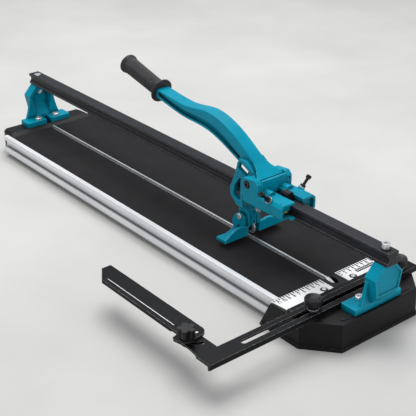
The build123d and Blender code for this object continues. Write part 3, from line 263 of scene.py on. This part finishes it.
# One material for each slot in the record: dark colour, light colour, roughness range, the rest.
# In the rest, the edge colour is partly wear and partly a painted highlight, and the crevice
# darkening is painted shade.
LOOKS = {
    "teal_paint": ((0, 122, 146), (0, 142, 168), (0.3, 0.44), dict(
        mottle=14.0, grain=900.0, bump=0.25, bump_depth=0.0001, coat=0.04, coat_rough=0.16,
        edge=linear(84, 216, 232), edge_amount=0.75, rounding=0.0010, specular=0.08,
        painted_shade=0.92)),
    "rail_paint": ((18, 18, 23), (29, 29, 36), (0.32, 0.46), dict(
        grain=420.0, stretch=(1, 0.03, 1), bump=0.3, edge=linear(158, 160, 166),
        edge_amount=0.6, specular=0.3)),
    "bare_aluminium": ((226, 227, 230), (238, 239, 241), (0.3, 0.46), dict(
        mottle=9.0, grain=600.0, stretch=(1, 0.02, 1), bump=0.25, metallic=0.45,
        edge=linear(250, 250, 250), rounding=0.0005, painted_shade=0.75, painted_shade_reach=0.016)),
    "shoe_black": ((6, 6, 8), (12, 12, 15), (0.4, 0.56), dict(
        grain=1600.0, bump=0.4, bump_depth=0.00012, edge=linear(104, 104, 110),
        edge_amount=0.3, rounding=0.0008, specular=0.22)),
    "pad_rubber": ((19, 17, 19), (28, 25, 27), (0.74, 0.92), dict(
        grain=1500.0, bump=0.7, bump_depth=0.0002, edge=linear(92, 88, 91), edge_amount=0.3,
        specular=0.25)),
    "grip_rubber": ((30, 30, 32), (46, 46, 48), (0.5, 0.74), dict(
        grain=1800.0, bump=0.6, edge=linear(112, 112, 114), edge_amount=0.4, specular=0.4,
        rounding=0.0003)),
    "bright_steel": ((206, 208, 211), (232, 234, 236), (0.18, 0.34), dict(
        grain=900.0, metallic=0.75, edge=linear(245, 245, 245), rounding=0.0004)),
    "ruler_steel": ((212, 213, 212), (232, 233, 232), (0.36, 0.5), dict(
        stretch=(0.03, 1, 1), bump=0.2, metallic=0.25, edge=linear(250, 250, 250),
        rounding=0.0002)),
    "black_steel": ((14, 14, 16), (26, 26, 29), (0.28, 0.44), dict(
        grain=1000.0, bump=0.2, metallic=0.5, edge=linear(205, 208, 210), edge_amount=0.45,
        rounding=0.0004)),
    "fence_black": ((7, 7, 9), (14, 14, 16), (0.34, 0.5), dict(
        grain=1300.0, bump=0.35, bump_depth=0.0001, edge=linear(196, 198, 200),
        edge_amount=0.8, specular=0.12)),
    "knob_black": ((8, 8, 10), (16, 16, 18), (0.34, 0.52), dict(
        grain=1500.0, bump=0.4, edge=linear(118, 118, 124), edge_amount=0.35, specular=0.3)),
    "plug_brass": ((170, 132, 62), (202, 164, 88), (0.25, 0.4), dict(
        metallic=1.0, edge=linear(235, 205, 140))),
}
MATERIALS = {name: surface(name, linear(*dark), linear(*light), rough, **rest)
             for name, (dark, light, rough, rest) in LOOKS.items()}
MARK_INK = surface("mark_ink", linear(20, 20, 22), linear(34, 34, 36), (0.5, 0.7),
                   grain=1500.0, bump=0.2, rounding=0.0001)


def finish_nodes():
    """Gives every CAD node its slot's material."""
    slots = {part["node"]: part["material_slot"] for part in frame["record"]["subparts"]}
    for name, node in nodes.items():
        node.data.materials.clear()
        node.data.materials.append(MATERIALS[slots[name]])


# ---- new pieces ----
def piece_from(mesh_tool, name, body, material, smooth=True):
    """Turns a bmesh into a named piece that rides on a body."""
    mesh = bpy.data.meshes.new(name)
    mesh_tool.to_mesh(mesh)
    mesh_tool.free()
    for polygon in mesh.polygons:
        polygon.use_smooth = smooth
    piece = bpy.data.objects.new(name, mesh)
    scene.collection.objects.link(piece)
    mesh.materials.append(material)
    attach(piece, body)
    return piece


def grip_radius(distance, around):
    """Radius in mm of the grip's skin, at mm from its flange and an angle round it."""
    radius = GRIP_PROFILE[-1][1]
    for (start, first), (end, second) in zip(GRIP_PROFILE, GRIP_PROFILE[1:]):
        if start <= distance <= end:
            share = (distance - start) / (end - start)
            radius = first + (second - first) * share
            break
    start, end = PANEL_SPAN
    if abs(math.cos(around)) > PANEL_SIDE and start < distance < end:
        rim = min(distance - start, end - distance, PANEL_RIM) / PANEL_RIM
        radius -= PANEL_DEEP * rim
        radius += WAVE_HIGH * rim * (0.5 + 0.5 * math.cos(distance * WAVE_RATE))
    elif RIBBED[0] < distance < RIBBED[1]:
        radius -= RIB_DEEP * (0.5 - 0.5 * math.cos(GRIP_RIBS * around))
    if any(start < distance < end for start, end in GROOVES):
        radius -= GROOVE_DEEP
    return radius


def grip_rings():
    """Radius function and distance of each ring, from the flange to the dished end, in mm."""
    for i in range(int(GRIP_LONG / MM / GRIP_STEP) + 1):
        distance = i * GRIP_STEP
        yield (lambda around, at=distance: grip_radius(at, around)), distance
    for radius, distance in GRIP_END:
        yield (lambda around, same=radius: same), distance


def make_grip():
    """Ribbed rubber grip with a flange and a flared, dished end."""
    tool = bmesh.new()
    rings = []
    for radius_at, distance in grip_rings():
        ring = []
        for i in range(GRIP_AROUND):
            around = 2 * math.pi * i / GRIP_AROUND
            radius = radius_at(around) * MM
            ring.append(tool.verts.new(
                (radius * math.cos(around), radius * math.sin(around), distance * MM)))
        rings.append(ring)
    for lower, upper in zip(rings, rings[1:]):
        for i in range(GRIP_AROUND):
            j = (i + 1) % GRIP_AROUND
            tool.faces.new((lower[i], lower[j], upper[j], upper[i]))
    tool.faces.new(rings[-1])
    tool.faces.new(list(reversed(rings[0])))
    lean = Matrix.Rotation(GRIP_ANGLE - math.pi / 2, 4, "X")
    axis = Vector((0, math.cos(GRIP_ANGLE), math.sin(GRIP_ANGLE)))
    place = Matrix.Translation(Vector(GRIP_FLANGE_AT) + axis * GRIP_GAP)
    bmesh.ops.transform(tool, matrix=place @ lean, verts=tool.verts)
    bmesh.ops.recalc_face_normals(tool, faces=tool.faces)
    grip = piece_from(tool, "ribbed_grip", "handle", MATERIALS["grip_rubber"])
    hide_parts("handle_grip")


def add_mark(tool, x0, x1, y0, y1, z0, z1):
    """Small raised bar with its bottom left open against the scale."""
    corners = [(x0, y0), (x1, y0), (x1, y1), (x0, y1)]
    low = [tool.verts.new((x, y, z0)) for x, y in corners]
    high = [tool.verts.new((x, y, z1)) for x, y in corners]
    tool.faces.new(high)
    for i in range(4):
        j = (i + 1) % 4
        tool.faces.new((low[i], low[j], high[j], high[i]))


def scale_reach(low, high):
    """Nearest and furthest distance of a scale's ends from the cutting line."""
    return min(abs(low.x), abs(high.x)), max(abs(low.x), abs(high.x))


def make_scale_marks(node, side):
    """Printed marks along a scale's rear edge, measured from the cutting line."""
    low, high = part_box(node)
    inner, outer = scale_reach(low, high)
    tool = bmesh.new()
    for i in range(1, int(outer / TICK_STEP) + 1):
        distance = i * TICK_STEP
        if not inner + TICK_WIDE < distance < outer - TICK_WIDE:
            continue
        length = TICK_LONG if i % 2 == 0 else TICK_SHORT
        x = side * distance
        add_mark(tool, x - TICK_WIDE / 2, x + TICK_WIDE / 2, high.y - length,
                 high.y - TICK_MARGIN, high.z - INK_SINK, high.z + TICK_PROUD)
    piece_from(tool, node + "_marks", "base", MARK_INK, smooth=False)


def make_digits(node, side):
    """Plain centimetre numbers under the long marks."""
    low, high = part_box(node)
    inner, outer = scale_reach(low, high)
    for centimetres in range(1, DIGIT_LAST + 1):
        distance = centimetres * DIGIT_STEP * MM
        if not inner + DIGIT_INSET[0] < distance < outer - DIGIT_INSET[1]:
            continue
        curve = bpy.data.curves.new(f"{node}_digit_{centimetres}", "FONT")
        curve.body = str(centimetres)
        curve.size = DIGIT_SIZE
        curve.align_x = "CENTER"
        curve.extrude = TICK_PROUD / 2
        curve.offset = DIGIT_WEIGHT
        digit = bpy.data.objects.new(curve.name, curve)
        scene.collection.objects.link(digit)
        digit.location = (side * distance, high.y - DIGIT_DROP, high.z + TICK_PROUD / 2)
        bpy.context.view_layer.update()
        shaped = digit.evaluated_get(bpy.context.evaluated_depsgraph_get())
        mesh = bpy.data.meshes.new_from_object(shaped)
        mesh.transform(digit.matrix_world)
        bpy.data.objects.remove(digit)
        solid = bpy.data.objects.new(f"{node}_number_{centimetres}", mesh)
        scene.collection.objects.link(solid)
        mesh.materials.clear()
        mesh.materials.append(MARK_INK)
        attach(solid, "base")


def make_ruler_panel():
    """Dark panel with short pale bars, printed on the right scale."""
    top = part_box("right_ruler")[1].z
    panel = bmesh.new()
    add_mark(panel, *LABEL_X, *LABEL_Y, top - INK_SINK, top + LABEL_PROUD)
    piece_from(panel, "right_ruler_panel", "base", MARK_INK, smooth=False)
    bars = bmesh.new()
    for i in range(BAR_COUNT):
        left = BAR_LEFT + i * BAR_STEP * MM
        add_mark(bars, left, left + BAR_LONG, *BAR_Y, top + INK_SINK, top + BAR_PROUD)
    piece_from(bars, "right_ruler_bars", "base", MATERIALS["ruler_steel"],
               smooth=False)


def make_fence_line():
    """Painted highlight: a bright strip in the groove of the side fence."""
    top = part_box("side_fence")[1].z
    tool = bmesh.new()
    add_mark(tool, *LINE_X, *LINE_Y, top - LINE_DROP[0], top - LINE_DROP[1])
    piece_from(tool, "side_fence_highlight_strip", "side_fence",
               MATERIALS["bare_aluminium"], smooth=False)


# ---- studio ----
def make_floor():
    """Plain pale floor under the whole machine."""
    tool = bmesh.new()
    bmesh.ops.create_grid(tool, x_segments=4, y_segments=4, size=FLOOR_HALF)
    mesh = bpy.data.meshes.new("floor")
    tool.to_mesh(mesh)
    tool.free()
    floor = bpy.data.objects.new("floor", mesh)
    scene.collection.objects.link(floor)
    mesh.materials.append(surface(
        "floor_matt", linear(188, 187, 184), linear(200, 199, 196), (0.7, 0.85),
        mottle=3.0, grain=120.0, bump=0.05, rounding=0.0001))


def add_lamp(name, at, towards, power, size):
    """Square soft light aimed at a point."""
    lamp = bpy.data.lights.new(name, "AREA")
    lamp.energy = power
    lamp.size = size
    holder = bpy.data.objects.new(name, lamp)
    holder.location = at
    holder.rotation_mode = "QUATERNION"
    holder.rotation_quaternion = (Vector(towards) - Vector(at)).to_track_quat("-Z", "Y")
    scene.collection.objects.link(holder)


def make_studio():
    """Soft surround, a broad key from above and two weak lights."""
    world = bpy.data.worlds.new("studio")
    world.use_nodes = True
    background = world.node_tree.nodes["Background"]
    background.inputs["Color"].default_value = SKY_COLOUR
    background.inputs["Strength"].default_value = SKY_STRENGTH
    scene.world = world
    for lamp in LAMPS:
        add_lamp(*lamp)
    scene.view_settings.view_transform = "Standard"
    scene.view_settings.look = "None"


def make_camera():
    """Camera at the photograph's place and angle."""
    lens = bpy.data.cameras.new("camera")
    lens.lens = CAMERA_LENS
    lens.sensor_width = SENSOR_WIDTH
    lens.clip_start, lens.clip_end = CAMERA_CLIP
    camera = bpy.data.objects.new("camera", lens)
    camera.location = CAMERA_AT
    camera.rotation_euler = (math.radians(90 - CAMERA_TILT), math.radians(CAMERA_ROLL),
                             math.radians(-CAMERA_TURN))
    scene.collection.objects.link(camera)
    scene.camera = camera


finish_nodes()
make_grip()
for ruler_node, ruler_side in (("left_ruler", -1), ("right_ruler", 1)):
    make_scale_marks(ruler_node, ruler_side)
    make_digits(ruler_node, ruler_side)
make_ruler_panel()
make_fence_line()
make_floor()
make_studio()
make_camera()
